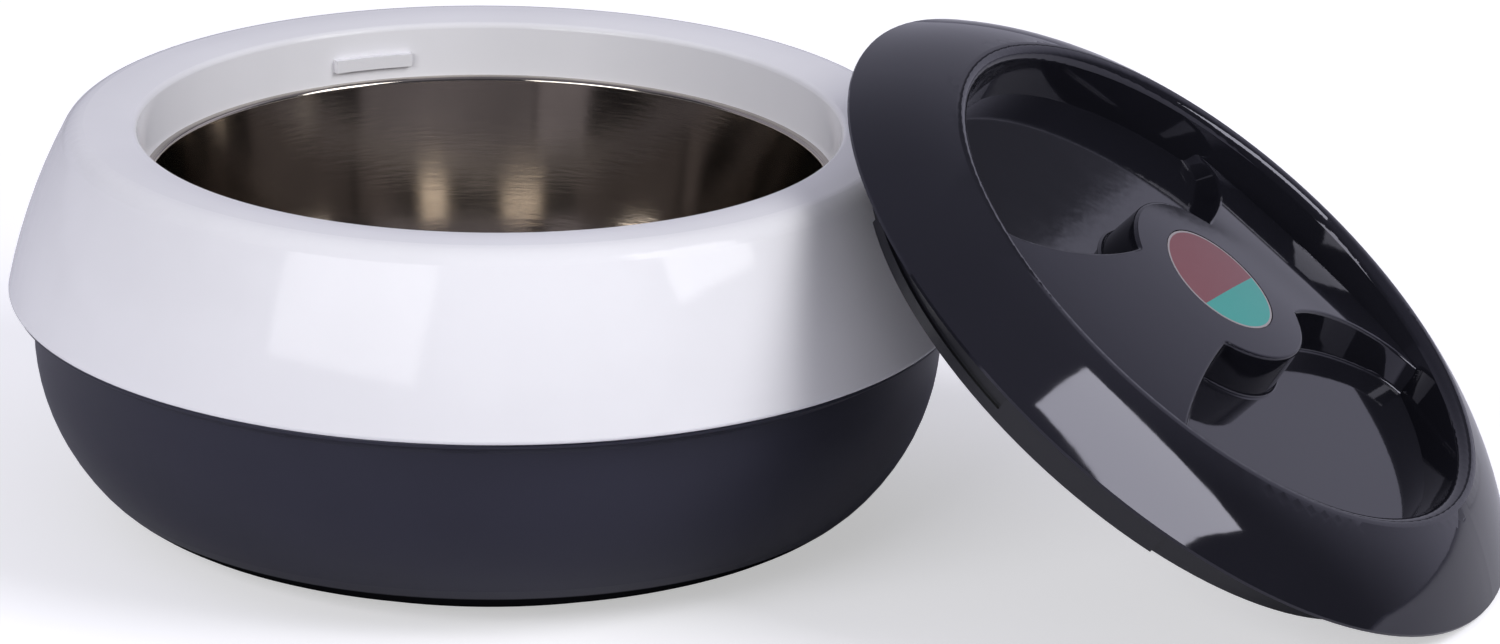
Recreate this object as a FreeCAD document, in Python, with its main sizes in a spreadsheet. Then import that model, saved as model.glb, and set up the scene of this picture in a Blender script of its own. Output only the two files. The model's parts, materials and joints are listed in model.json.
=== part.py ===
"""Insulated chapati casserole with a lift-off, twist-lock lid, standing open with the lid leaned on it.

The bowl stands on the floor with its axis on Z and the floor at z = 0. The lid's pieces are drawn in the
lid's own frame (Z along its axis, zero at the brim's edge) and then placed leaning against the collar.
"""
import FreeCAD, Part
import math
import os
import re
import Sketcher

os.makedirs("parts", exist_ok=True)
doc = FreeCAD.newDocument("ChapatiCasserole")

# Driving sizes in millimetres and degrees: alias, value, meaning.
DRIVING = [
    # walls and clearances
    ("wall", 2.2, "moulded wall of the bowl's shells"),
    ("lid_wall", 2.0, "moulded wall of the lid"),
    ("sheet", 0.6, "steel sheet"),
    ("foam_gap", 0.4, "clearance around the foam"),
    ("slip_gap", 0.3, "clearance between pieces that slide into each other"),
    ("rest_gap", 0.3, "clearance under the leaning lid"),
    ("cut_past", 1.0, "how far a cut runs past the surface that it opens"),
    # foot
    ("foot_height", 3.0, "height of the foot ring"),
    ("foot_radius", 86.3, "top of the foot ring"),
    ("foot_draft", 1.0, "how much the foot ring narrows downwards"),
    ("foot_ring", 12.0, "width of the foot ring"),
    ("foot_recess", 2.4, "height of the recess inside the foot ring"),
    ("spigot_height", 1.4, "spigot that centres the foot in the lower shell"),
    ("spigot_radius", 70.0, "opening in the bottom of the lower shell"),
    ("base_hole", 5.0, "radius of the foam filling hole in the foot"),
    ("plug_head", 3.0, "how far a filling plug's head overlaps its hole"),
    ("head_height", 1.2, "height of a filling plug's head"),
    ("head_chamfer", 0.6, "chamfer of a filling plug's head"),
    # lower shell
    ("heel_out", 23.6, "heel of the shell, outwards from the foot"),
    ("heel_up", 10.9, "heel of the shell, upwards from the foot"),
    ("heel_lean", 40.5, "angle of the shell's normal at the heel, below level"),
    ("heel_bow", 2.9, "bow of the shell between foot and heel"),
    ("flank_bow", 3.4, "bow of the shell between heel and flank"),
    ("flank_height", 50.0, "height at which the shell stands upright"),
    ("flank_radius", 123.2, "radius of the shell there"),
    ("flank_flare", 0.4, "how much the shell widens from there to the bead"),
    ("bead_out", 5.6, "how far the bead at the top of the shell stands out"),
    ("bead_height", 1.4, "height of the bead"),
    ("bead_slope", 3.0, "height of the slope under the bead"),
    ("bead_hollow", 0.9, "hollow of that slope"),
    ("bead_round", 0.56, "rounding of the bead's edges"),
    ("lap_height", 6.0, "how far the shell reaches up into the collar"),
    # collar
    ("seam_height", 61.2, "seam between shell and collar"),
    ("collar_over", 1.3, "how far the collar's bottom edge stands out over the bead"),
    ("collar_edge_round", 1.0, "rounding of the collar's bottom edge"),
    ("collar_rim", 3.0, "height of the collar's thick bottom rim"),
    ("rim_inset", 1.3, "how much thicker the collar's wall is just above that rim"),
    ("collar_bow", 1.9, "bow of the collar's flank"),
    ("collar_top", 107.3, "height of the collar's shoulder"),
    ("shoulder_radius", 113.3, "collar at the shoulder, before rounding"),
    ("shoulder_share", 0.385, "rounding of the shoulder, as a share of the ring's width"),
    ("shoulder_inset", 1.8, "how far in the collar's inside turns at the shoulder"),
    ("ring_bow", 0.8, "bow of the ring around the mouth"),
    ("mouth_radius", 95.1, "mouth, before rounding"),
    ("mouth_drop", 0.8, "how much lower the mouth is than the shoulder"),
    ("mouth_round", 1.6, "rounding of the mouth's lip"),
    ("throat_taper", 1.6, "how much the throat narrows downwards"),
    ("throat_height", 15.4, "depth of the throat below the collar's top"),
    # twist lock
    ("catch_azimuth", 111.0, "first catch, around the bowl"),
    ("catch_spread", 14.0, "angle that a catch takes up"),
    ("catch_height", 3.6, "height of a catch"),
    ("catch_gap", 0.4, "clearance between a catch and the lid's plug"),
    ("ledge_height", 2.8, "thickness of the hook under a catch"),
    ("hook_height", 1.2, "how far the hooked ramp stands out of the plug"),
    ("hook_drop", 1.0, "how far the hooked ramp stays below the brim"),
    ("hook_start", 215.0, "open end of the hooked ramp, around the lid"),
    ("hook_stop", 258.0, "closed end of its groove"),
    ("hook_end", 291.0, "end of the hooked ramp"),
    ("groove_lead", 1.0, "angle by which the groove runs out of the ramp's open end"),
    # steel bowl
    ("steel_radius", 91.2, "inside of the steel bowl at the rim"),
    ("rim_round", 1.2, "rounding of the steel rim"),
    ("steel_depth", 68.0, "inside depth of the steel bowl"),
    ("steel_taper", 6.0, "how much the steel wall narrows downwards"),
    ("steel_corner", 22.0, "rounding between steel wall and floor"),
    ("corner_bow", 6.2, "bow of that rounding"),
    # lid cover
    ("brim_radius", 110.5, "edge of the lid's brim"),
    ("brim_edge", 0.8, "height of the upright edge of the brim"),
    ("dome_bow", 1.5, "bow of the lid's dome"),
    ("dome_hollow", 1.35, "bow of the dome's inside"),
    ("crest_radius", 83.1, "crest around the dish, before rounding"),
    ("crest_height", 17.6, "height of the crest, before rounding"),
    ("crest_round", 3.4, "rounding of the crest"),
    ("crest_skin", 2.8, "plastic under the crest, before rounding"),
    ("dish_radius", 80.5, "floor of the dish"),
    ("dish_height", 2.5, "height of the dish's floor"),
    ("block_over", 1.0, "how far the bridge's ends run into the dish's wall"),
    # bridge over the dish
    ("bridge_height", 16.2, "top of the bridge at the hub"),
    ("bridge_drop", 11.8, "how much lower the bridge is where it meets the dish's wall"),
    ("bridge_reach", 84.0, "half the bridge's length"),
    ("bridge_round", 1.0, "rounding of the bridge's top edges"),
    ("notch_round", 1.5, "rounding of the corners where the bridge's arms meet the hub"),
    ("foot_round", 1.2, "rounding between the bridge's walls and the dish's floor"),
    ("hub_radius", 28.2, "round hub in the middle of the bridge"),
    ("hub_draft", 0.4, "how much the hub widens downwards"),
    ("badge_radius", 17.5, "badge"),
    ("badge_height", 0.9, "depth of the badge's recess below the hub's middle"),
    ("badge_sink", 0.1, "how far the badge's face lies below the hub's"),
    # finger wells beside the bridge: azimuths before and after the lid's own X axis
    ("hub_near", 64.5, "where a well's near edge meets the hub, before the axis"),
    ("hub_far", 42.0, "where its far edge meets the hub, after the axis"),
    ("hub_turn", 3.0, "how much nearer to the axis both do so at the dish's floor"),
    ("near_lip", 78.0, "outer end of the near edge at the bridge's top, before the axis"),
    ("near_foot", 71.7, "outer end of the near edge at the dish's floor"),
    ("near_hollow", 0.8, "how far the near edge bends into the bridge"),
    ("far_lip", 53.0, "outer end of the far edge at the bridge's top, after the axis"),
    ("far_foot", 48.5, "outer end of the far edge at the dish's floor"),
    ("far_hollow", 3.2, "how far the far edge bends into the bridge"),
    ("flare_start", 70.0, "radius at which both edges begin to flare into the dish's wall"),
    ("flare", 6.5, "angle over which they do so"),
    ("mouth_over", 0.3, "height of the wells' upper outline over the bridge's top"),
    # lid base
    ("plug_radius", 91.9, "bottom of the lid's plug"),
    ("plug_draft", 0.6, "how much the plug widens upwards"),
    ("plug_depth", 15.0, "depth of the plug below the brim"),
    ("flange_height", 1.6, "flange of the lid's base"),
    # lid foam
    ("foam_brim", 3.0, "how far the foam stays inside the brim's wall"),
    ("foam_nose", 1.2, "how far it stays from the corner under the crest"),
    # how the lid leans on the bowl
    ("lid_lean", 37.38, "lean of the lid's axis from upright"),
    ("lid_heading", -21.81, "direction in which the lid leans away"),
    ("lid_aside", 23.0, "how far the lid's middle stands to the side of the bowl's"),
    ("lean_gap", 0.35, "clearance between the plug's bottom and the collar's shoulder"),
]

# Sizes worked out from the driving ones.
DERIVED = [
    ("recess_radius", "foot_radius - foot_draft - foot_ring"),
    ("cover_top", "foot_height + spigot_height"),
    ("heel_radius", "foot_radius + heel_out"),
    ("heel_height", "foot_height + heel_up"),
    ("heel_arc", "(heel_out ^ 2 + heel_up ^ 2) / (8 * heel_bow) + heel_bow / 2"),
    ("flank_chord", "sqrt((flank_radius - heel_radius) ^ 2 + (flank_height - heel_height) ^ 2)"),
    ("flank_arc", "flank_chord ^ 2 / (8 * flank_bow) + flank_bow / 2"),
    ("bead_radius", "flank_radius + bead_out"),
    ("collar_radius", "bead_radius + collar_over"),
    ("lap_radius", "flank_radius + wall"),
    ("foam_skin", "wall + foam_gap"),
    ("foam_shelf", "seam_height + lap_height + foam_gap"),
    ("collar_rise", "collar_top - seam_height"),
    ("inside_share", "(collar_rise - collar_rim - wall) / collar_rise"),
    ("foam_share", "(collar_top - foam_skin - foam_shelf) / collar_rise"),
    ("throat_bottom", "collar_top - throat_height"),
    ("throat_radius", "mouth_radius - throat_taper"),
    ("catch_bottom", "collar_top - plug_depth + ledge_height + slip_gap"),
    ("catch_radius", "plug_radius + catch_gap"),
    ("steel_floor", "throat_bottom - steel_depth"),
    ("steel_foot", "steel_radius - steel_taper"),
    ("corner_top", "steel_floor + steel_corner"),
    ("quarter_bow", "1 - cos(45 deg)"),
    ("hub_foot", "hub_radius + hub_draft"),
    ("hub_bow", "1 - cos((hub_near + hub_far) / 2)"),
    ("hook_radius", "plug_radius + hook_height"),
    ("groove_top", "ledge_height + catch_height + 2 * slip_gap - plug_depth"),
    ("inner_brim", "brim_radius - lid_wall"),
    ("flange_radius", "inner_brim - slip_gap"),
    ("lid_z", "plug_radius * sin(lid_lean) + plug_depth * cos(lid_lean) + rest_gap"),
    ("ring_width", "shoulder_radius - mouth_radius"),
    ("shoulder_round", "ring_width * shoulder_share"),
    ("ring_rise", "2 * atan(2 * ring_bow / ring_width) - atan(mouth_drop / ring_width)"),
    ("flank_across", "collar_radius - shoulder_radius"),
    ("flank_length", "sqrt(flank_across ^ 2 + (collar_top - seam_height) ^ 2)"),
    ("flank_slope", "asin(flank_across / flank_length) + 2 * atan(2 * collar_bow / flank_length)"),
    ("round_reach", "shoulder_round * tan(45 deg - flank_slope / 2 - ring_rise / 2)"),
    ("round_middle", "shoulder_radius - round_reach * cos(ring_rise) - shoulder_round * sin(ring_rise)"),
    ("round_height", "collar_top + round_reach * sin(ring_rise) - shoulder_round * cos(ring_rise)"),
    ("lean_back", "plug_depth + shoulder_round + lean_gap + (round_height - lid_z) * cos(lid_lean)"),
    ("lid_away", "round_middle + lean_back / sin(lid_lean)"),
    ("lid_x", "lid_away * cos(lid_heading) - lid_aside * sin(lid_heading)"),
    ("lid_y", "lid_away * sin(lid_heading) + lid_aside * cos(lid_heading)"),
]



def polar(radius, azimuth, bow):
    """A corner (across, along, bow) of an outline, given by its radius and azimuth."""
    return (f"({radius}) * cos({azimuth})", f"({radius}) * sin({azimuth})", bow)


# Bows of a side that runs on smoothly from the side after it, or from the side before it.
AS_NEXT = "as next"
AS_LAST = "as last"

# A finger well, seen from above: from the dish's wall along its near edge, round the hub and along its far
# edge to the dish's wall again, at the dish's floor and just over the bridge.
WELL_FLOOR = [
    polar("bridge_reach", "flare - near_foot", AS_NEXT),
    polar("flare_start", "-near_foot", "-near_hollow"),
    polar("hub_foot", "hub_turn - hub_near", "hub_foot * hub_bow"),
    polar("hub_foot", "hub_far - hub_turn", "-far_hollow"),
    polar("flare_start", "far_foot", AS_LAST),
    polar("bridge_reach", "far_foot - flare", 0),
]
WELL_MOUTH = [
    polar("bridge_reach", "flare - near_lip", AS_NEXT),
    polar("flare_start", "-near_lip", "-near_hollow"),
    polar("hub_radius", "-hub_near", "hub_radius * hub_bow"),
    polar("hub_radius", "hub_far", "-far_hollow"),
    polar("flare_start", "far_lip", AS_LAST),
    polar("bridge_reach", "far_lip - flare", 0),
]

NEAR = 0.01  # millimetres within which two places count as one

ALIASES = {name for name, *rest in DRIVING} | {name for name, *rest in DERIVED}


def fill_sheet():
    """The spreadsheet that holds every size."""
    sheet = doc.addObject("Spreadsheet::Sheet", "Sizes")
    for row, (name, number, meaning) in enumerate(DRIVING, start=1):
        sheet.set(f"A{row}", meaning)
        sheet.set(f"B{row}", str(number))
        sheet.setAlias(f"B{row}", name)
    for row, (name, formula) in enumerate(DERIVED, start=len(DRIVING) + 2):
        sheet.set(f"A{row}", name)
        sheet.set(f"B{row}", "=" + formula)
        sheet.setAlias(f"B{row}", name)
    doc.recompute()
    return sheet


sizes = fill_sheet()


def bound(formula):
    """The formula with each alias pointing at the spreadsheet."""
    def point(word):
        return "Sizes." + word.group() if word.group() in ALIASES else word.group()
    return re.sub(r"[a-z_]+", point, str(formula))


def worth(formula):
    """What a formula of aliases comes to."""
    answer = sizes.evalExpression(bound(formula))
    return float(getattr(answer, "Value", answer))


def bind(item, slot, formula):
    """Tie one property of an object to the spreadsheet."""
    item.setExpression(slot, bound(formula))


def new_body(label):
    """An empty body that gives its sub-part its name."""
    body = doc.addObject("PartDesign::Body", label)
    body.Label = label
    return body


def new_sketch(body, name, role):
    """A sketch on one of the body's own origin planes."""
    plane = next(item for item in body.Origin.OriginFeatures if item.Role == role)
    sketch = body.newObject("Sketcher::SketchObject", name)
    sketch.AttachmentSupport = [(plane, "")]
    sketch.MapMode = "FlatFace"
    return sketch


def pin(sketch, kind, index, end, formula):
    """Hold one coordinate of a point at a formula's value."""
    row = sketch.addConstraint(Sketcher.Constraint(kind, -1, 1, index, end, worth(formula)))
    sketch.setExpression(f"Constraints[{row}]", bound(formula))


def rises(spots, bows):
    """The bow of each side in millimetres, after the smooth ones are worked out from their neighbours."""
    chords = [spots[(index + 1) % len(spots)] - spot for index, spot in enumerate(spots)]
    ways = [math.atan2(chord.y, chord.x) for chord in chords]
    answer = [0 if bow in (AS_NEXT, AS_LAST) else worth(bow) for bow in bows]
    for index, bow in enumerate(bows):
        if bow not in (AS_NEXT, AS_LAST):
            continue
        other = index + 1 if bow == AS_NEXT else index - 1
        half = ways[other] - ways[index] - 2 * math.atan(2 * answer[other] / chords[other].Length)
        if bow == AS_LAST:
            half = ways[index] - ways[other] - 2 * math.atan(2 * answer[other] / chords[other].Length)
        answer[index] = chords[index].Length / 2 * math.tan(half / 2)
    return answer


def outline(sketch, corners):
    """A closed outline through corners (across, up, bow).

    The bow says how far the side after the corner stands out to the right of the way to the next one;
    0 is a straight side.
    """
    spots = [FreeCAD.Vector(worth(x), worth(y), 0) for x, y, bow in corners]
    bows = [bow for x, y, bow in corners]
    starts = []
    for index, rise in enumerate(rises(spots, bows)):
        begin = spots[index]
        finish = spots[(index + 1) % len(spots)]
        if rise == 0:
            sketch.addGeometry(Part.LineSegment(begin, finish), False)
            starts.append(1)
            continue
        chord = finish - begin
        right = FreeCAD.Vector(chord.y, -chord.x, 0).normalize()
        radius = (chord.Length ** 2 / 4 + rise ** 2) / (2 * rise)
        centre = (begin + finish) / 2 + right * (rise - radius)
        angles = [math.atan2(spot.y - centre.y, spot.x - centre.x) for spot in (begin, finish)]
        starts.append(1 if rise > 0 else 2)
        if rise < 0:
            angles.reverse()
        circle = Part.Circle(centre, FreeCAD.Vector(0, 0, 1), abs(radius))
        sketch.addGeometry(Part.ArcOfCircle(circle, angles[0], angles[1]), False)
    for index, (x, y, bow) in enumerate(corners):
        last = index - 1 if index else len(corners) - 1
        joint = "Tangent" if bow == AS_LAST or bows[last] == AS_NEXT else "Coincident"
        sketch.addConstraint(Sketcher.Constraint(joint, last, 3 - starts[last], index, starts[index]))
        pin(sketch, "DistanceX", index, starts[index], x)
        pin(sketch, "DistanceY", index, starts[index], y)
        if bow in (AS_NEXT, AS_LAST) or worth(bow) == 0:
            continue
        after_x, after_y, rest = corners[(index + 1) % len(corners)]
        square = f"((({after_x}) - ({x})) ^ 2 + (({after_y}) - ({y})) ^ 2)"
        radius = f"abs(({square} / 4 + ({bow}) ^ 2) / (2 * ({bow})))"
        row = sketch.addConstraint(Sketcher.Constraint("Radius", index, worth(radius)))
        sketch.setExpression(f"Constraints[{row}]", bound(radius))


def turn(body, name, corners, kind="Revolution", start="0", sweep="360"):
    """Revolve an outline (radius, height, bow) about the body's Z axis, or cut it away with a Groove."""
    sketch = new_sketch(body, name + "Outline", "XZ_Plane")
    sketch.AttachmentOffset = FreeCAD.Placement(
        FreeCAD.Vector(), FreeCAD.Rotation(FreeCAD.Vector(0, 1, 0), worth(start))
    )
    if start != "0":
        bind(sketch, "AttachmentOffset.Rotation.Angle", start)
    outline(sketch, corners)
    feature = body.newObject("PartDesign::" + kind, name)
    feature.Profile = sketch
    feature.ReferenceAxis = (sketch, ["V_Axis"])
    bind(feature, "Angle", sweep)
    doc.recompute()
    return feature


def edges_where(feature, wanted):
    """Names of the feature's edges that pass a test."""
    return [f"Edge{number}" for number, edge in enumerate(feature.Shape.Edges, start=1) if wanted(edge)]


def rings(feature, spots):
    """Names of the circular edges about Z at the given (radius, height) formulas."""
    places = [(worth(radius), worth(height)) for radius, height in spots]

    def wanted(edge):
        curve = edge.Curve
        if not isinstance(curve, Part.Circle):
            return False
        return any(abs(curve.Radius - r) < NEAR and abs(curve.Center.z - z) < NEAR for r, z in places)

    return edges_where(feature, wanted)


def round_edges(body, name, feature, names, radius):
    """Fillet the named edges of the feature."""
    fillet = body.newObject("PartDesign::Fillet", name)
    fillet.Base = (feature, names)
    bind(fillet, "Radius", radius)
    doc.recompute()
    return fillet


def around(body, name, features, count=2):
    """Repeat features evenly about the body's Z axis."""
    axis = next(item for item in body.Origin.OriginFeatures if item.Role == "Z_Axis")
    pattern = body.newObject("PartDesign::PolarPattern", name)
    pattern.Originals = features
    pattern.Axis = (axis, [""])
    pattern.Angle = 360
    pattern.Occurrences = count
    body.Tip = pattern
    doc.recompute()
    return pattern


def lean(body):
    """Place a piece of the lid where the lid leans on the bowl."""
    place = "create(<<vector>>; lid_x; lid_y; lid_z)"
    rotation = "create(<<rotation>>; lid_heading; lid_lean; 0)"
    bind(body, "Placement", f"create(<<placement>>; {place}; {rotation})")


def make_base_cover():
    """Foot moulding: a ring foot, recessed in the middle, with a spigot that centres it in the shell."""
    body = new_body("base_cover")
    turn(body, "Foot", [
        ("base_hole + slip_gap", "foot_recess", 0),
        ("recess_radius - foot_recess", "foot_recess", 0),
        ("recess_radius", "0", 0),
        ("foot_radius - foot_draft", "0", 0),
        ("foot_radius", "foot_height", 0),
        ("spigot_radius - slip_gap", "foot_height", 0),
        ("spigot_radius - slip_gap", "cover_top", 0),
        ("base_hole + slip_gap", "cover_top", 0),
    ])
    return body


def make_base_fill_plug():
    """Plug that closes the hole in the foot through which the body is foamed."""
    body = new_body("base_fill_plug")
    turn(body, "Mushroom", [
        ("0", "foot_recess - head_height", 0),
        ("base_hole + plug_head - head_chamfer", "foot_recess - head_height", 0),
        ("base_hole + plug_head", "foot_recess - head_height + head_chamfer", 0),
        ("base_hole + plug_head", "foot_recess", 0),
        ("base_hole", "foot_recess", 0),
        ("base_hole", "cover_top", 0),
        ("0", "cover_top", 0),
    ])
    return body


def make_lower_shell():
    """Lower shell: a rounded pan with a bead at its top and a lap that reaches into the collar."""
    body = new_body("lower_shell")
    shell = turn(body, "Pan", [
        ("spigot_radius", "foot_height", 0),
        ("foot_radius", "foot_height", "heel_bow"),
        ("heel_radius", "heel_height", "flank_bow"),
        ("flank_radius", "flank_height", 0),
        ("flank_radius + flank_flare", "seam_height - bead_height - bead_slope", "-bead_hollow"),
        ("bead_radius", "seam_height - bead_height", 0),
        ("bead_radius", "seam_height", 0),
        ("lap_radius - slip_gap", "seam_height", 0),
        ("lap_radius - slip_gap", "seam_height + lap_height", 0),
        ("lap_radius - slip_gap - wall", "seam_height + lap_height", 0),
        ("lap_radius - slip_gap - wall", "seam_height - bead_height", 0),
        ("flank_radius - wall", "flank_height", "-flank_bow * (1 - wall / flank_arc)"),
        ("heel_radius - wall * cos(heel_lean)", "heel_height + wall * sin(heel_lean)",
         "-heel_bow * (1 - wall / heel_arc)"),
        ("foot_radius", "foot_height + wall", 0),
        ("spigot_radius", "foot_height + wall", 0),
    ])
    beads = rings(shell, [("bead_radius", "seam_height"), ("bead_radius", "seam_height - bead_height")])
    round_edges(body, "BeadRound", shell, beads, "bead_round")
    return body


def make_upper_collar():
    """Collar: flank, shoulder, ring around the mouth and the throat with its two catches."""
    body = new_body("upper_collar")
    collar = turn(body, "Collar", [
        ("collar_radius", "seam_height", "collar_bow"),
        ("shoulder_radius", "collar_top", "ring_bow"),
        ("mouth_radius", "collar_top - mouth_drop", 0),
        ("throat_radius", "throat_bottom", 0),
        ("throat_radius + wall", "throat_bottom", 0),
        ("mouth_radius + wall", "collar_top - mouth_drop - wall", "-ring_bow"),
        ("shoulder_radius - shoulder_inset", "collar_top - wall", "-collar_bow * inside_share ^ 2"),
        ("collar_radius - wall - rim_inset", "seam_height + collar_rim", 0),
        ("lap_radius", "seam_height + collar_rim", 0),
        ("lap_radius", "seam_height", 0),
    ])
    shoulder = round_edges(
        body, "ShoulderRound", collar, rings(collar, [("shoulder_radius", "collar_top")]), "shoulder_round"
    )
    edge = round_edges(
        body, "EdgeRound", shoulder, rings(shoulder, [("collar_radius", "seam_height")]), "collar_edge_round"
    )
    lip = rings(edge, [("mouth_radius", "collar_top - mouth_drop")])
    round_edges(body, "LipRound", edge, lip, "mouth_round")
    catch = turn(body, "Catch", [
        ("catch_radius", "catch_bottom", 0),
        ("throat_radius + wall", "catch_bottom", 0),
        ("throat_radius + wall", "catch_bottom + catch_height", 0),
        ("catch_radius", "catch_bottom + catch_height", 0),
    ], start="catch_azimuth - catch_spread / 2", sweep="catch_spread")
    around(body, "Catches", [catch])
    return body


def make_steel_bowl():
    """Spun steel bowl: flat floor, round corner, slightly tapered wall and a rim flanged outwards."""
    body = new_body("steel_bowl")
    turn(body, "Spun", [
        ("0", "steel_floor - sheet", 0),
        ("steel_foot - steel_corner", "steel_floor - sheet", "corner_bow + sheet * quarter_bow"),
        ("steel_foot + sheet", "corner_top", 0),
        ("steel_radius + sheet", "throat_bottom - rim_round", "-(rim_round - sheet) * quarter_bow"),
        ("steel_radius + rim_round", "throat_bottom - sheet", 0),
        ("throat_radius + wall - slip_gap", "throat_bottom - sheet", 0),
        ("throat_radius + wall - slip_gap", "throat_bottom", 0),
        ("steel_radius + rim_round", "throat_bottom", "rim_round * quarter_bow"),
        ("steel_radius", "throat_bottom - rim_round", 0),
        ("steel_foot", "corner_top", "-corner_bow"),
        ("steel_foot - steel_corner", "steel_floor", 0),
        ("0", "steel_floor", 0),
    ])
    return body


def make_body_foam():
    """Foam that fills the space between the steel bowl and the two shells."""
    body = new_body("body_foam")
    turn(body, "Foam", [
        ("0", "foot_height + foam_skin", 0),
        ("foot_radius", "foot_height + foam_skin", "heel_bow * (1 - foam_skin / heel_arc)"),
        ("heel_radius - foam_skin * cos(heel_lean)", "heel_height + foam_skin * sin(heel_lean)",
         "flank_bow * (1 - foam_skin / flank_arc)"),
        ("flank_radius - foam_skin", "flank_height", 0),
        ("lap_radius - slip_gap - foam_skin", "foam_shelf", 0),
        ("collar_radius - foam_skin - 2 * rim_inset", "foam_shelf", "collar_bow * foam_share ^ 2"),
        ("shoulder_radius - shoulder_inset - foam_gap", "collar_top - foam_skin", 0),
        ("mouth_radius + foam_skin", "collar_top - mouth_drop - foam_skin", 0),
        ("throat_radius + foam_skin", "throat_bottom - sheet - foam_gap", 0),
        ("steel_radius + rim_round + foam_gap", "throat_bottom - sheet - foam_gap", 0),
        ("steel_radius + sheet + foam_gap", "throat_bottom - rim_round - foam_gap", 0),
        ("steel_foot + sheet + foam_gap", "corner_top", "-corner_bow - sheet * quarter_bow"),
        ("steel_foot - steel_corner", "steel_floor - sheet - foam_gap", 0),
        ("0", "steel_floor - sheet - foam_gap", 0),
    ])
    return body


def make_arch(body, top):
    """Cut away all that stands above the bridge's arched top."""
    sketch = new_sketch(body, "ArchOutline", "YZ_Plane")
    outline(sketch, [
        ("-bridge_reach", f"{top} - bridge_drop", "-bridge_drop"),
        ("bridge_reach", f"{top} - bridge_drop", 0),
        ("bridge_reach", f"{top} + 2 * cut_past", 0),
        ("-bridge_reach", f"{top} + 2 * cut_past", 0),
    ])
    arch = body.newObject("PartDesign::Pocket", "Arch")
    arch.Profile = sketch
    arch.Type = "ThroughAll"
    arch.Midplane = True
    doc.recompute()
    return arch


def well_sketch(body, name, height, corners):
    """One level of the finger well, closed outside the dish."""
    sketch = new_sketch(body, name, "XY_Plane")
    bind(sketch, "AttachmentOffset.Base.z", height)
    beyond = [("brim_radius", corners[-1][1], 0), ("brim_radius", corners[0][1], 0)]
    outline(sketch, corners + beyond)
    return sketch


def hub_corners(feature):
    """Names of the upright edges where the bridge's arms meet the hub."""
    rise = worth("bridge_height - dish_height") / 2
    slack = worth("2 * hub_draft")

    def wanted(edge):
        ends = [vertex.Point for vertex in edge.Vertexes]
        if abs(ends[0].z - ends[-1].z) < rise:
            return False
        return all(abs(math.hypot(end.x, end.y) - worth("hub_radius")) < slack for end in ends)

    return edges_where(feature, wanted)


def wall_feet(feature):
    """Names of the edges between the walls of the finger wells and their floors."""
    floor = worth("dish_height")
    outside = worth("dish_radius + block_over") - NEAR

    def wanted(edge):
        points = edge.discretize(3)
        level = all(abs(point.z - floor) < NEAR for point in points)
        return level and any(math.hypot(point.x, point.y) < outside for point in points)

    return edges_where(feature, wanted)


def bridge_rims(feature):
    """Names of the edges between the bridge's arched top and the walls of the finger wells."""
    outside = worth("dish_radius + block_over") - NEAR

    def wanted(edge):
        surfaces = [face.Surface for face in feature.Shape.ancestorsOfType(edge, Part.Face)]
        arched = [isinstance(surface, Part.Cylinder) and abs(surface.Axis.x) > 1 - NEAR for surface in surfaces]
        if not any(arched) or all(arched):
            return False
        return any(math.hypot(point.x, point.y) < outside for point in edge.discretize(3))

    return edges_where(feature, wanted)


def make_lid_cover():
    """Lid top: brim, dome, crest and dish, and the arched bridge with its hub between two finger wells."""
    body = new_body("lid_cover")
    under = "(dish_height - lid_wall)"
    turn(body, "Block", [
        ("0", under, 0),
        ("dish_radius + block_over", under, 0),
        ("dish_radius + block_over", "bridge_height + cut_past", 0),
        ("0", "bridge_height + cut_past", 0),
    ])
    make_arch(body, "bridge_height")
    floor = well_sketch(body, "WellFloor", "dish_height", WELL_FLOOR)
    mouth = well_sketch(body, "WellMouth", "bridge_height + mouth_over", WELL_MOUTH)
    well = body.newObject("PartDesign::SubtractiveLoft", "Well")
    well.Profile = floor
    well.Sections = [mouth]
    doc.recompute()
    wells = around(body, "Wells", [well])
    notches = round_edges(body, "NotchRound", wells, hub_corners(wells), "notch_round")
    rims = round_edges(body, "BridgeRound", notches, bridge_rims(notches), "bridge_round")
    round_edges(body, "FootRound", rims, wall_feet(rims), "foot_round")
    ring = turn(body, "Ring", [
        ("0", under, 0),
        ("dish_radius + lid_wall", under, 0),
        ("crest_radius + lid_wall", "crest_height - crest_skin", "-dome_hollow"),
        ("inner_brim", "flange_height", 0),
        ("inner_brim", "0", 0),
        ("brim_radius", "0", 0),
        ("brim_radius", "brim_edge", "dome_bow"),
        ("crest_radius", "crest_height", 0),
        ("dish_radius", "dish_height", 0),
        ("0", "dish_height", 0),
    ])
    crest = rings(ring, [("crest_radius", "crest_height")])
    round_edges(body, "CrestRound", ring, crest, "crest_round")
    seat = new_sketch(body, "BadgeSeatOutline", "XY_Plane")
    bind(seat, "AttachmentOffset.Base.z", "bridge_height - badge_height")
    seat.addGeometry(Part.Circle(FreeCAD.Vector(), FreeCAD.Vector(0, 0, 1), worth("badge_radius")), False)
    row = seat.addConstraint(Sketcher.Constraint("Radius", 0, worth("badge_radius + slip_gap")))
    seat.setExpression(f"Constraints[{row}]", bound("badge_radius + slip_gap"))
    seat.addConstraint(Sketcher.Constraint("Coincident", 0, 3, -1, 1))
    recess = body.newObject("PartDesign::Pocket", "BadgeSeat")
    recess.Profile = seat
    recess.Type = "ThroughAll"
    recess.Reversed = True
    doc.recompute()
    lean(body)
    return body


def make_hub_badge():
    """Round badge in the hub's recess, its face arched like the bridge."""
    body = new_body("hub_badge")
    turn(body, "Disc", [
        ("0", "bridge_height - badge_height", 0),
        ("badge_radius", "bridge_height - badge_height", 0),
        ("badge_radius", "bridge_height + cut_past", 0),
        ("0", "bridge_height + cut_past", 0),
    ])
    make_arch(body, "(bridge_height - badge_sink)")
    lean(body)
    return body


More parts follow.
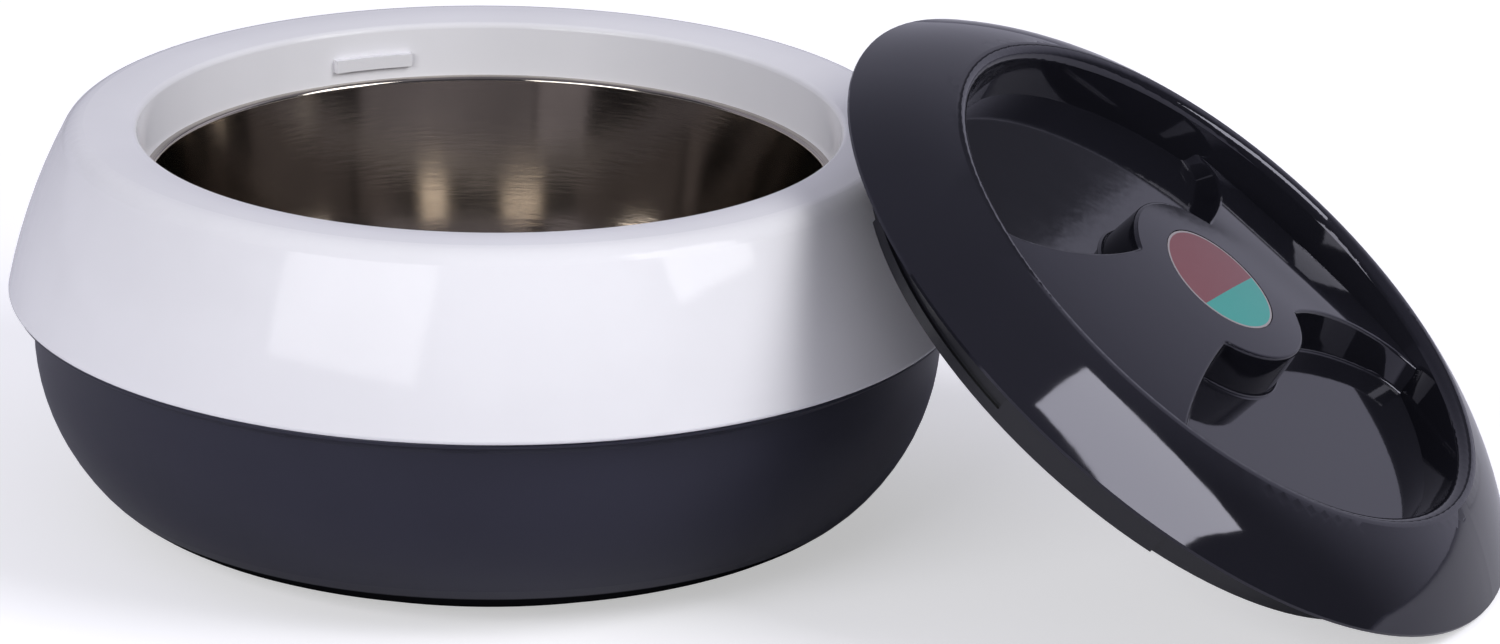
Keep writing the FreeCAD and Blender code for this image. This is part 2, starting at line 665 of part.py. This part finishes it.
def make_lid_base():
    """Lid base: a plug closed at the bottom, the flange under the brim and two hooked ramps."""
    body = new_body("lid_base")
    turn(body, "Plug", [
        ("base_hole + slip_gap", "-plug_depth", 0),
        ("plug_radius", "-plug_depth", 0),
        ("plug_radius + plug_draft", "0", 0),
        ("flange_radius", "0", 0),
        ("flange_radius", "flange_height", 0),
        ("plug_radius + plug_draft - lid_wall", "flange_height", 0),
        ("plug_radius - lid_wall", "lid_wall - plug_depth", 0),
        ("base_hole + slip_gap", "lid_wall - plug_depth", 0),
    ])
    ramp = turn(body, "Ramp", [
        ("plug_radius - lid_wall / 2", "-plug_depth", 0),
        ("hook_radius", "-plug_depth", 0),
        ("hook_radius + plug_draft", "-hook_drop", 0),
        ("plug_radius - lid_wall / 2", "-hook_drop", 0),
    ], start="hook_start", sweep="hook_end - hook_start")
    groove = turn(body, "Channel", [
        ("plug_radius", "ledge_height - plug_depth", 0),
        ("hook_radius + cut_past", "ledge_height - plug_depth", 0),
        ("hook_radius + cut_past", "groove_top", 0),
        ("plug_radius", "groove_top", 0),
    ], kind="Groove", start="hook_start - groove_lead", sweep="hook_stop - hook_start + groove_lead")
    around(body, "Ramps", [ramp, groove])
    lean(body)
    return body


def make_lid_fill_plug():
    """Plug that closes the hole through which the lid is foamed."""
    body = new_body("lid_fill_plug")
    turn(body, "Mushroom", [
        ("0", "-plug_depth - head_height", 0),
        ("base_hole + plug_head - head_chamfer", "-plug_depth - head_height", 0),
        ("base_hole + plug_head", "-plug_depth - head_height + head_chamfer", 0),
        ("base_hole + plug_head", "-plug_depth", 0),
        ("base_hole", "-plug_depth", 0),
        ("base_hole", "lid_wall - plug_depth", 0),
        ("0", "lid_wall - plug_depth", 0),
    ])
    lean(body)
    return body


def make_lid_foam():
    """Foam of the lid, below the dish and under the dome."""
    body = new_body("lid_foam")
    turn(body, "Foam", [
        ("0", "lid_wall - plug_depth + foam_gap", 0),
        ("plug_radius - lid_wall - foam_gap", "lid_wall - plug_depth + foam_gap", 0),
        ("plug_radius + plug_draft - lid_wall - foam_gap", "flange_height + foam_gap", 0),
        ("inner_brim - foam_brim", "flange_height + foam_gap", "dome_hollow - foam_gap"),
        ("crest_radius + lid_wall + foam_nose", "crest_height - crest_skin - 2 * foam_nose", 0),
        ("dish_radius + lid_wall + 2 * foam_gap", "dish_height - lid_wall - foam_gap", 0),
        ("0", "dish_height - lid_wall - foam_gap", 0),
    ])
    lean(body)
    return body


MAKERS = [
    make_base_cover, make_base_fill_plug, make_lower_shell, make_upper_collar, make_steel_bowl, make_body_foam,
    make_lid_cover, make_hub_badge, make_lid_base, make_lid_fill_plug, make_lid_foam,
]
bodies = [make() for make in MAKERS]
doc.recompute()

for item in doc.Objects:
    if "Invalid" in item.State or "Error" in item.State:
        raise RuntimeError(f"{item.Label} did not compute: {item.State}")
for body in bodies:
    if body.Shape.isNull() or not body.Shape.isValid():
        raise RuntimeError(f"{body.Label} has no valid shape")
    body.Shape.exportStep(f"parts/{body.Label}.step")
    print(body.Label, len(body.Shape.Solids), round(body.Shape.Volume / 1000, 2), body.Shape.BoundBox)
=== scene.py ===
"""Finishes and studio for the insulated chapati casserole: a Blender add-on that is run as a script."""
import json
import math

import bmesh
import bpy
from mathutils import Matrix, Vector

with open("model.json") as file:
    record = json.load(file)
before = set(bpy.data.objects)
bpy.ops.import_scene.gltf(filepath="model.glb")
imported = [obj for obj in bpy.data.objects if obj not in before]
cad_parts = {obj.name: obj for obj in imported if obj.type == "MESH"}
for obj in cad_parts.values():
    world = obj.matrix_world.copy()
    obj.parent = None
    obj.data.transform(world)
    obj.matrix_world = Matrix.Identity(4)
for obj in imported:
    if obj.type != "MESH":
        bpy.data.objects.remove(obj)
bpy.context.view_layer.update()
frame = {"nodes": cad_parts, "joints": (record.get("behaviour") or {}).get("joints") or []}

bl_info = {
    "name": "Chapati Casserole",
    "version": (1, 0, 0),
    "blender": (4, 5, 0),
    "location": "View3D > Sidebar > Casserole",
    "description": "Gives the casserole's mouldings and steel bowl their finishes and sets up a studio",
    "category": "Object",
}

LID_TWIST = next(joint for joint in frame["joints"] if joint["name"] == "lid_twist")
LID_AXIS = Vector(LID_TWIST["axis"])
LID_MIDDLE = Vector(LID_TWIST["pos_m"])
BAND_WAY = Vector((0.68118, -0.41721, -0.60160))  # from the badge's middle to its band, square to the axis

# The ring of faces just outside the lid's crest is known by the cosine between its normals and the axis.
CREST_SLOPE = 0.90615
CREST_SLACK = 0.0006

# How closely a smoothed normal has to follow its face's own, as a cosine, on the lid and on that ring.
FAIR_MATCH = 0.97
CLOSE_MATCH = 0.999

PLASTIC_IOR = 1.5
WHITE = (1.0, 1.0, 1.0)
BLACK = (0.0, 0.0, 0.0)

# Where the room's tones change. Each pair is where a change starts and where it is complete. Turns are in
# degrees from +x towards +y, and an edge that leans turns back by its lean, in degrees, per unit of z.
CARD_TURN, CARD_LEAN = (-2.0, 38.0), 20.0
GAP_TURN, GAP_LEAN = (67.3, 67.6), 40.0
BEHIND_TURN = (58.0, 63.0)
BEFORE_Y = (0.15, -0.25)
ABOVE_Z = (0.5, 0.95)

FLOOR_HALF = 6.0  # metres from the floor's middle to its edge
LAMP_REACH = 1.5  # metres from a soft box to its aim
SENSOR_WIDTH = 36.0  # millimetres
SIGHT = 50.0  # metres, the farthest that the camera sees


# --- shader maths ---------------------------------------------------------------------------------------

# A Mix node's sockets share their names between its modes, so those for colours go by number.
MIX_MASK, MIX_FIRST, MIX_SECOND, MIX_RESULT = 0, 6, 7, 2


class Signal:
    """An output socket; arithmetic on it adds Math nodes to its tree."""

    def __init__(self, tree, socket):
        self.tree = tree
        self.socket = socket

    def math(self, operation, *others):
        """A Math node on this signal and then the other values."""
        return add(self.tree, "ShaderNodeMath", {"operation": operation}, dict(enumerate((self, *others))))

    def __add__(self, other):
        return self.math("ADD", other)

    __radd__ = __add__

    def __mul__(self, other):
        return self.math("MULTIPLY", other)

    __rmul__ = __mul__


def add(tree, kind, settings=None, sockets=None, out=0):
    """A node: its settings are made first, then its sockets' values or links. Returns an output's signal."""
    node = tree.nodes.new(kind)
    for name, value in (settings or {}).items():
        setattr(node, name, value)
    for name, value in (sockets or {}).items():
        if isinstance(value, Signal):
            tree.links.new(value.socket, node.inputs[name])
        else:
            node.inputs[name].default_value = value
    return Signal(tree, node.outputs[out])


def feed(signal, node, socket):
    """Link a signal to one of a node's sockets."""
    signal.tree.links.new(signal.socket, node.inputs[socket])


def spread(signal, low, high):
    """The signal's range low..high stretched to 0..1, clamped and eased."""
    sockets = {"Value": signal, "From Min": low, "From Max": high}
    return add(signal.tree, "ShaderNodeMapRange", {"interpolation_type": "SMOOTHSTEP"}, sockets)


def past(signal, edge, blur):
    """0 before an edge and 1 past it, eased over the blur on each side."""
    return spread(signal, edge - blur, edge + blur)


def vary(middle, signal, width):
    """A value that strays from its middle, by half of the width each way, with a signal from 0 to 1."""
    return middle - width / 2 + signal * width


def between(mask, first, second):
    """A mix of two colours: the first where the mask is 0, the second where it is 1."""
    sockets = {MIX_MASK: mask, MIX_FIRST: first, MIX_SECOND: second}
    return add(mask.tree, "ShaderNodeMix", {"data_type": "RGBA"}, sockets, MIX_RESULT)


def noise(place, lumps, detail, roughness=0.5):
    """Smooth noise of about the given number of lumps per metre."""
    sockets = {"Vector": place, "Scale": lumps, "Detail": detail, "Roughness": roughness}
    return add(place.tree, "ShaderNodeTexNoise", None, sockets)


def parts(vector):
    """The x, y and z of a vector signal."""
    node = add(vector.tree, "ShaderNodeSeparateXYZ", None, {"Vector": vector}).socket.node
    return [Signal(vector.tree, socket) for socket in node.outputs]


def vector_math(operation, *vectors, out=0):
    """A Vector Math node on one or two vectors, the first of them a signal."""
    sockets = dict(enumerate(vectors))
    return add(vectors[0].tree, "ShaderNodeVectorMath", {"operation": operation}, sockets, out)


def dot(vector, way):
    """How far a vector signal reaches along a direction."""
    return vector_math("DOT_PRODUCT", vector, way, out="Value")


def length(vector):
    """The length of a vector signal."""
    return vector_math("LENGTH", vector, out="Value")


# --- finishes -------------------------------------------------------------------------------------------


def shade(colour, factor=1.0):
    """A colour made darker or paler by a factor, with its alpha."""
    return (*(part * factor for part in colour), 1.0)


def new_finish(name):
    """A material with a Principled shader; returns the material, the shader and the place signal."""
    material = bpy.data.materials.new(name)
    material.use_nodes = True
    tree = material.node_tree
    return material, tree.nodes["Principled BSDF"], add(tree, "ShaderNodeTexCoord", out="Object")


def emboss(shader, height, strength, depth, base=None):
    """Bumps on a shader's surface, their depth in metres, on its own normal or on a base."""
    sockets = {"Strength": strength, "Distance": depth, "Height": height}
    if base is not None:
        sockets["Normal"] = base
    feed(add(height.tree, "ShaderNodeBump", None, sockets), shader, "Normal")


def dress(node_names, material):
    """Give some CAD nodes a material in every slot."""
    for name in node_names:
        mesh = frame["nodes"][name].data
        for index in range(len(mesh.materials)):
            mesh.materials[index] = material


# --- settings -------------------------------------------------------------------------------------------


def tint(name, description, colour):
    """A colour setting with its default."""
    return bpy.props.FloatVectorProperty(
        name=name, description=description, subtype="COLOR", size=3, min=0, max=1, default=colour
    )


def share(name, description, value):
    """A setting from 0 to 1 with its default."""
    return bpy.props.FloatProperty(
        name=name, description=description, subtype="FACTOR", min=0, max=1, default=value
    )


def distance(name, description, value):
    """A length setting in metres with its default."""
    return bpy.props.FloatProperty(name=name, description=description, unit="LENGTH", default=value)


def watts(name, description, value):
    """A lamp's power with its default."""
    return bpy.props.FloatProperty(name=name, description=description, unit="POWER", min=0, default=value)


def degrees(name, description, value):
    """An angle setting with its default, given in degrees."""
    return bpy.props.FloatProperty(
        name=name, description=description, subtype="ANGLE", default=math.radians(value)
    )


class BowlFinish(bpy.types.PropertyGroup):
    """Colours and gloss of the bowl's pieces."""

    collar: tint("Collar", "Colour of the moulded collar", (0.875, 0.87, 0.905))
    collar_roughness: share("Collar roughness", "Roughness of the moulded collar", 0.09)
    collar_gloss: share("Collar gloss", "Strength of the moulded collar's gloss", 0.18)
    shell: tint("Shell", "Colour of the lower shell", (0.012, 0.012, 0.021))
    shell_roughness: share("Shell roughness", "Roughness of the lower shell", 0.42)
    shell_gloss: tint("Shell gloss", "Tint of the lower shell's gloss", (0.80, 0.80, 1.0))
    # Painted shade: height of the dull black band at the shell's bottom that stands in for the shadow under
    # the bowl
    painted_shade: distance("Heel", "Height of the dull black heel under the shell", 0.0106)
    foot: tint("Foot", "Colour of the foot", (0.006, 0.006, 0.007))
    foot_roughness: share("Foot roughness", "Roughness of the foot", 0.56)
    steel: tint("Steel", "Colour of the polished steel", (0.47, 0.43, 0.385))
    steel_roughness: share("Steel roughness", "Roughness of the polished steel", 0.09)
    foam: tint("Foam", "Colour of the foam behind the mouldings", (0.75, 0.68, 0.48))
    foam_roughness: share("Foam roughness", "Roughness of the foam", 0.85)


class LidFinish(bpy.types.PropertyGroup):
    """Colours and gloss of the lid's pieces."""

    cover: tint("Cover", "Colour of the lid's top", (0.0085, 0.0085, 0.0120))
    cover_roughness: share("Cover roughness", "Roughness of the lid's top", 0.05)
    gloss_tint: tint("Gloss tint", "Tint of the lid's gloss", (0.86, 0.85, 1.0))
    inside: tint("Underside", "Colour of the lid's plug", (0.006, 0.006, 0.010))
    inside_roughness: share("Underside roughness", "Roughness of the lid's plug", 0.31)
    badge_field: tint("Badge field", "Larger field of the hub's badge", (0.17, 0.045, 0.055))
    badge_band: tint("Badge band", "Lower band of the hub's badge", (0.030, 0.30, 0.27))
    badge_rim: tint("Badge rim", "Thin rim round the hub's badge", (0.30, 0.27, 0.28))
    badge_roughness: share("Badge roughness", "Roughness of the hub's badge", 0.23)
    band_line: distance("Band line", "Distance of the band's straight edge from the badge's middle", 0.0038)
    rim_line: distance("Rim line", "Distance of the rim's inner edge from the badge's middle", 0.016875)


class StudioSettings(bpy.types.PropertyGroup):
    """Floor, surroundings, lamps and camera."""

    floor: tint("Floor", "Colour of the floor", (0.79, 0.785, 0.84))
    floor_roughness: share("Floor roughness", "Roughness of the floor", 0.9)
    # Painted shade: the floor's camera-only paling is weaker round the casserole than far from it
    floor_near: share("Floor near", "How much paler the camera sees the floor round the casserole", 0.48)
    floor_far: share("Floor far", "How much paler the camera sees the floor away from it", 0.70)
    near_reach: distance("Near reach", "How far out the floor starts to get paler", 0.15)
    far_reach: distance("Far reach", "How far out the floor is palest", 0.8)
    behind: share("Behind", "How pale the room is behind the casserole", 0.545)
    card: share("Card", "How pale the card behind the lid is", 0.76)
    gap: share("Gap", "How pale the room is beside that card", 0.12)
    before: share("Before", "How pale the room is on the camera's side", 0.09)
    above: share("Above", "How pale the room is overhead", 0.33)
    room_tint: tint("Room tint", "Tint of the room's light", (0.83, 0.82, 1.0))
    right_power: watts("Right lamp", "Power of the tall soft box on the right", 15.0)
    left_power: watts("Left lamp", "Power of the wide soft box on the left", 12.0)
    camera_place: bpy.props.FloatVectorProperty(
        name="Camera place", description="Where the camera stands", subtype="TRANSLATION", unit="LENGTH",
        default=(0.0, -1.54957, 0.58371),
    )
    camera_dip: degrees("Camera dip", "How far the camera looks down", 19.005)
    camera_swing: degrees("Camera swing", "How far the camera turns to the right", 2.4867)
    camera_roll: degrees("Camera roll", "How far the camera is tipped", 0.335)
    lens: bpy.props.FloatProperty(
        name="Lens", description="Focal length on a 36 mm wide sensor", unit="CAMERA", default=144.14
    )


# --- bowl -----------------------------------------------------------------------------------------------


class CASSEROLE_OT_finish_collar(bpy.types.Operator):
    """Glossy, faintly tinted white plastic with the soft orange peel of a large moulding"""

    bl_idname = "casserole.finish_collar"
    bl_label = "Finish the collar"

    def execute(self, context):
        wish = context.scene.casserole_bowl
        material, shader, place = new_finish("collar_moulding")
        clouds = spread(noise(place, lumps=14.0, detail=3.0), 0.35, 0.65)
        feed(between(clouds, shade(wish.collar, 0.955), shade(wish.collar)), shader, "Base Color")
        smears = noise(place, lumps=55.0, detail=4.0, roughness=0.6)
        feed(vary(wish.collar_roughness, smears, width=0.04), shader, "Roughness")
        shader.inputs["Specular IOR Level"].default_value = wish.collar_gloss
        emboss(shader, noise(place, lumps=420.0, detail=1.0), strength=0.02, depth=0.0004)
        dress(["upper_collar"], material)
        return {"FINISHED"}


class CASSEROLE_OT_finish_shell(bpy.types.Operator):
    """Fine-grained satin plastic for the lower shell, with painted shade: a dull black band at its bottom"""

    bl_idname = "casserole.finish_shell"
    bl_label = "Finish the lower shell"

    def execute(self, context):
        wish = context.scene.casserole_bowl
        material, shader, place = new_finish("shell_moulding")
        clouds = noise(place, lumps=22.0, detail=4.0)
        colour = between(spread(clouds, 0.3, 0.7), shade(wish.shell, 0.9), shade(wish.shell, 1.12))
        feed(colour, shader, "Base Color")
        feed(vary(wish.shell_roughness, clouds, width=0.12), shader, "Roughness")
        shader.inputs["Specular Tint"].default_value = shade(wish.shell_gloss)
        emboss(shader, noise(place, lumps=2600.0, detail=2.0), strength=0.12, depth=0.0002)
        self.paint_shade_under_shell(shader, place, wish)
        dress(["lower_shell"], material)
        return {"FINISHED"}

    def paint_shade_under_shell(self, shader, place, wish):
        """Painted shade: the turned-in bottom of the shell is dull black, as the foot is, standing in for
        the shadow beneath the bowl.
        """
        tree = place.tree
        black = {"Base Color": shade(wish.foot), "Specular IOR Level": 0.0}
        # Painted shade: below this height the shell takes a dull black shader in place of its satin one
        painted_shade = add(tree, "ShaderNodeBsdfPrincipled", None, black)
        above_painted_shade = past(parts(place)[2], wish.painted_shade, blur=0.0004)
        sockets = (above_painted_shade, painted_shade, Signal(tree, shader.outputs["BSDF"]))
        both = add(tree, "ShaderNodeMixShader", None, dict(enumerate(sockets)))
        feed(both, tree.nodes["Material Output"], "Surface")


class CASSEROLE_OT_finish_foot(bpy.types.Operator):
    """Matt black plastic for the foot and its filling plug"""

    bl_idname = "casserole.finish_foot"
    bl_label = "Finish the foot"

    def execute(self, context):
        wish = context.scene.casserole_bowl
        material, shader, place = new_finish("foot_moulding")
        grain = noise(place, lumps=1800.0, detail=3.0)
        feed(between(grain, shade(wish.foot), shade(wish.foot, 1.5)), shader, "Base Color")
        feed(vary(wish.foot_roughness, grain, width=0.12), shader, "Roughness")
        emboss(shader, grain, strength=0.15, depth=0.0002)
        dress(["base_cover", "base_fill_plug"], material)
        return {"FINISHED"}


class CASSEROLE_OT_finish_steel(bpy.types.Operator):
    """Spun and polished steel, with faint rings left by the spinning"""

    bl_idname = "casserole.finish_steel"
    bl_label = "Finish the steel bowl"

    def execute(self, context):
        wish = context.scene.casserole_bowl
        material, shader, place = new_finish("polished_steel")
        rings = noise(self.round_bowl(place), lumps=900.0, detail=3.0, roughness=0.7)
        polish = noise(place, lumps=30.0, detail=3.0)
        colour = between(spread(polish, 0.3, 0.7), shade(wish.steel, 0.82), shade(wish.steel))
        feed(colour, shader, "Base Color")
        wear = rings * 0.6 + polish * 0.4
        feed(vary(wish.steel_roughness, wear, width=0.1), shader, "Roughness")
        shader.inputs["Metallic"].default_value = 1.0
        emboss(shader, rings, strength=0.04, depth=0.0003)
        dress(["steel_bowl"], material)
        return {"FINISHED"}

    def round_bowl(self, place, drift=0.01):
        """Place by turn, radius and height; a small drift per radian makes noise on it run in rings."""
        x, y, z = parts(place)
        radius = (x * x + y * y).math("SQRT")
        turn = y.math("ARCTAN2", x)
        return add(place.tree, "ShaderNodeCombineXYZ", None, {"X": turn * drift, "Y": radius, "Z": z})


class CASSEROLE_OT_finish_foam(bpy.types.Operator):
    """Rigid foam behind the mouldings of bowl and lid"""

    bl_idname = "casserole.finish_foam"
    bl_label = "Finish the foam"

    def execute(self, context):
        wish = context.scene.casserole_bowl
        material, shader, place = new_finish("rigid_foam")
        cells = noise(place, lumps=700.0, detail=4.0, roughness=0.7)
        colour = between(spread(cells, 0.35, 0.65), shade(wish.foam, 0.8), shade(wish.foam))
        feed(colour, shader, "Base Color")
        feed(vary(wish.foam_roughness, cells, width=0.2), shader, "Roughness")
        emboss(shader, cells, strength=0.4, depth=0.0006)
        dress(["body_foam", "lid_foam"], material)
        return {"FINISHED"}


# --- lid ------------------------------------------------------------------------------------------------


class CASSEROLE_OT_finish_lid(bpy.types.Operator):
    """Deep glossy charcoal plastic with a faint orange peel for the lid's top"""

    bl_idname = "casserole.finish_lid"
    bl_label = "Finish the lid's cover"

    def execute(self, context):
        wish = context.scene.casserole_lid
        material, shader, place = new_finish("lid_moulding")
        clouds = spread(noise(place, lumps=18.0, detail=4.0), 0.3, 0.7)
        feed(between(clouds, shade(wish.cover), shade(wish.cover, 1.15)), shader, "Base Color")
        smears = spread(noise(place, lumps=70.0, detail=5.0, roughness=0.6), 0.3, 0.75)
        feed(vary(wish.cover_roughness, smears, width=0.02), shader, "Roughness")
        shader.inputs["IOR"].default_value = PLASTIC_IOR
        shader.inputs["Specular Tint"].default_value = shade(wish.gloss_tint)
        peel = noise(place, lumps=260.0, detail=1.0)
        emboss(shader, peel, strength=0.01, depth=0.0005, base=self.fair_normal(place.tree))
        dress(["lid_cover"], material)
        return {"FINISHED"}

    def fair_normal(self, tree):
        """The smoothed normal, or the face's own where the two disagree, as some do beside the crest."""
        smooth, flat = (add(tree, "ShaderNodeNewGeometry", out=name) for name in ("Normal", "True Normal"))
        beside_crest = dot(flat, LID_AXIS).math("COMPARE", CREST_SLOPE, CREST_SLACK)
        least = FAIR_MATCH + beside_crest * (CLOSE_MATCH - FAIR_MATCH)
        return between(dot(smooth, flat).math("GREATER_THAN", least), flat, smooth)


class CASSEROLE_OT_finish_plug(bpy.types.Operator):
    """Satin charcoal plastic for the lid's plug and its filling plug"""

    bl_idname = "casserole.finish_plug"
    bl_label = "Finish the lid's plug"

    def execute(self, context):
        wish = context.scene.casserole_lid
        material, shader, place = new_finish("plug_moulding")
        clouds = noise(place, lumps=25.0, detail=4.0)
        feed(between(clouds, shade(wish.inside), shade(wish.inside, 1.2)), shader, "Base Color")
        feed(vary(wish.inside_roughness, clouds, width=0.1), shader, "Roughness")
        emboss(shader, noise(place, lumps=1500.0, detail=2.0), strength=0.08, depth=0.0002)
        dress(["lid_base", "lid_fill_plug"], material)
        return {"FINISHED"}


class CASSEROLE_OT_finish_badge(bpy.types.Operator):
    """Plain badge on the hub: one large field and one band across its lower part, inside a thin rim"""

    bl_idname = "casserole.finish_badge"
    bl_label = "Finish the badge"

    def execute(self, context):
        wish = context.scene.casserole_lid
        material, shader, place = new_finish("badge_film")
        offset = vector_math("SUBTRACT", place, LID_MIDDLE)
        radius = length(vector_math("CROSS_PRODUCT", offset, LID_AXIS))
        band = past(dot(offset, BAND_WAY), wish.band_line, blur=0.0001)
        rim = past(radius, wish.rim_line, blur=0.000075)
        fields = between(band, shade(wish.badge_field), shade(wish.badge_band))
        feed(between(rim, fields, shade(wish.badge_rim)), shader, "Base Color")
        scuffs = noise(place, lumps=300.0, detail=4.0)
        feed(vary(wish.badge_roughness, scuffs, width=0.14), shader, "Roughness")
        emboss(shader, scuffs, strength=0.05, depth=0.0003)
        dress(["hub_badge"], material)
        return {"FINISHED"}


# --- studio ---------------------------------------------------------------------------------------------


def soft_box(name, power, aim, azimuth, elevation, size):
    """A rectangular area lamp; azimuth and elevation, in degrees, lead from its aim to the lamp."""
    data = bpy.data.lights.new(name, "AREA")
    data.shape = "RECTANGLE"
    data.size, data.size_y = size
    data.energy = power
    lamp = bpy.data.objects.new(name, data)
    turn, rise = math.radians(azimuth), math.radians(elevation)
    level = math.cos(rise)
    way = Vector((level * math.cos(turn), level * math.sin(turn), math.sin(rise)))
    lamp.location = Vector(aim) + way * LAMP_REACH
    lamp.rotation_euler = way.to_track_quat("Z", "Y").to_euler()
    bpy.context.scene.collection.objects.link(lamp)


class CASSEROLE_OT_set_stage(bpy.types.Operator):
    """Pale floor, a graded room, two soft boxes and the camera"""

    bl_idname = "casserole.set_stage"
    bl_label = "Set the stage"

    def execute(self, context):
        wish = context.scene.casserole_studio
        self.lay_floor(wish)
        self.light_world(context.scene, wish)
        lid_side, bowl_side = (0.20, -0.06, 0.06), (-0.05, -0.10, 0.08)
        soft_box("right_box", wish.right_power, lid_side, azimuth=-32, elevation=43, size=(0.69, 0.92))
        soft_box("left_box", wish.left_power, bowl_side, azimuth=-125, elevation=26, size=(1.03, 0.68))
        self.place_camera(context.scene, wish)
        context.scene.view_settings.view_transform = "Standard"
        return {"FINISHED"}

    def lay_floor(self, wish):
        """A large plane that keeps its shadows; the camera sees it paler, less so round the casserole, which
        paints shade round it.
        """
        mesh = bpy.data.meshes.new("floor")
        form = bmesh.new()
        bmesh.ops.create_grid(form, x_segments=1, y_segments=1, size=FLOOR_HALF)
        form.to_mesh(mesh)
        form.free()
        floor = bpy.data.objects.new("floor", mesh)
        bpy.context.scene.collection.objects.link(floor)
        material, shader, place = new_finish("floor_paper")
        shader.inputs["Base Color"].default_value = shade(wish.floor)
        shader.inputs["Roughness"].default_value = wish.floor_roughness
        shader.inputs["Specular IOR Level"].default_value = 0.0
        shader.inputs["Emission Strength"].default_value = 1.0
        near, far = shade(WHITE, wish.floor_near), shade(WHITE, wish.floor_far)
        # Painted shade: the lift grows from floor_near round the casserole to floor_far, so the floor near
        # it reads darker
        lift = between(spread(length(place), wish.near_reach, wish.far_reach), near, far)
        by_camera = add(place.tree, "ShaderNodeLightPath", out="Is Camera Ray")
        feed(between(by_camera, shade(BLACK), lift), shader, "Emission Color")
        mesh.materials.append(material)

    def light_world(self, scene, wish):
        """White to the camera; all other rays meet a room, pale behind and dark before the casserole."""
        world = bpy.data.worlds.new("studio")
        world.use_nodes = True
        scene.world = world
        tree = world.node_tree
        x, y, z = parts(add(tree, "ShaderNodeTexCoord", out="Generated"))
        turn = y.math("ARCTAN2", x) * math.degrees(1.0)
        tones = (wish.before, wish.gap, wish.card, wish.behind, wish.above)
        before, gap, card, behind, above = (shade(wish.room_tint, tone) for tone in tones)
        room = between(spread(turn + z * CARD_LEAN, *CARD_TURN), before, card)
        room = between(spread(turn + z * GAP_LEAN, *GAP_TURN), room, gap)
        room = between(spread(turn, *BEHIND_TURN), room, behind)
        room = between(spread(y, *BEFORE_Y), room, before)
        room = between(spread(z, *ABOVE_Z), room, above)
        by_camera = add(tree, "ShaderNodeLightPath", out="Is Camera Ray")
        backdrop = tree.nodes["Background"]
        feed(between(by_camera, room, shade(WHITE)), backdrop, "Color")
        backdrop.inputs["Strength"].default_value = 1.0

    def place_camera(self, scene, wish):
        """The camera turns about its own axes: down first, then aside, then tipped."""
        data = bpy.data.cameras.new("camera")
        data.lens = wish.lens
        data.sensor_width = SENSOR_WIDTH
        data.sensor_fit = "HORIZONTAL"
        data.clip_end = SIGHT
        camera = bpy.data.objects.new("camera", data)
        dip = Matrix.Rotation(math.radians(90) - wish.camera_dip, 4, "X")
        swing = Matrix.Rotation(-wish.camera_swing, 4, "Y")
        roll = Matrix.Rotation(wish.camera_roll, 4, "Z")
        camera.matrix_world = Matrix.Translation(wish.camera_place) @ (dip @ swing @ roll)
        scene.collection.objects.link(camera)
        scene.camera = camera


# --- add-on ---------------------------------------------------------------------------------------------


GROUPS = {
    "casserole_bowl": BowlFinish,
    "casserole_lid": LidFinish,
    "casserole_studio": StudioSettings,
}

OPERATORS = [
    CASSEROLE_OT_finish_collar,
    CASSEROLE_OT_finish_shell,
    CASSEROLE_OT_finish_foot,
    CASSEROLE_OT_finish_steel,
    CASSEROLE_OT_finish_foam,
    CASSEROLE_OT_finish_lid,
    CASSEROLE_OT_finish_plug,
    CASSEROLE_OT_finish_badge,
    CASSEROLE_OT_set_stage,
]


class CASSEROLE_PT_sidebar(bpy.types.Panel):
    """Lists the casserole's settings and steps"""

    bl_idname = "CASSEROLE_PT_sidebar"
    bl_label = "Chapati Casserole"
    bl_space_type = "VIEW_3D"
    bl_region_type = "UI"
    bl_category = "Casserole"

    def draw(self, context):
        for name, group in GROUPS.items():
            box = self.layout.box()
            for setting in group.__annotations__:
                box.prop(getattr(context.scene, name), setting)
        for operator in OPERATORS:
            self.layout.operator(operator.bl_idname)


def register():
    """Register the settings, the steps and the panel."""
    for name, group in GROUPS.items():
        bpy.utils.register_class(group)
        setattr(bpy.types.Scene, name, bpy.props.PointerProperty(type=group))
    for item in [*OPERATORS, CASSEROLE_PT_sidebar]:
        bpy.utils.register_class(item)


def unregister():
    """Take the settings, the steps and the panel away again."""
    for item in [CASSEROLE_PT_sidebar, *reversed(OPERATORS)]:
        bpy.utils.unregister_class(item)
    for name, group in GROUPS.items():
        delattr(bpy.types.Scene, name)
        bpy.utils.unregister_class(group)


def main():
    """Run every step in order."""
    register()
    for operator in OPERATORS:
        family, step = operator.bl_idname.split(".")
        getattr(getattr(bpy.ops, family), step)()


if __name__ == "__main__":
    main()
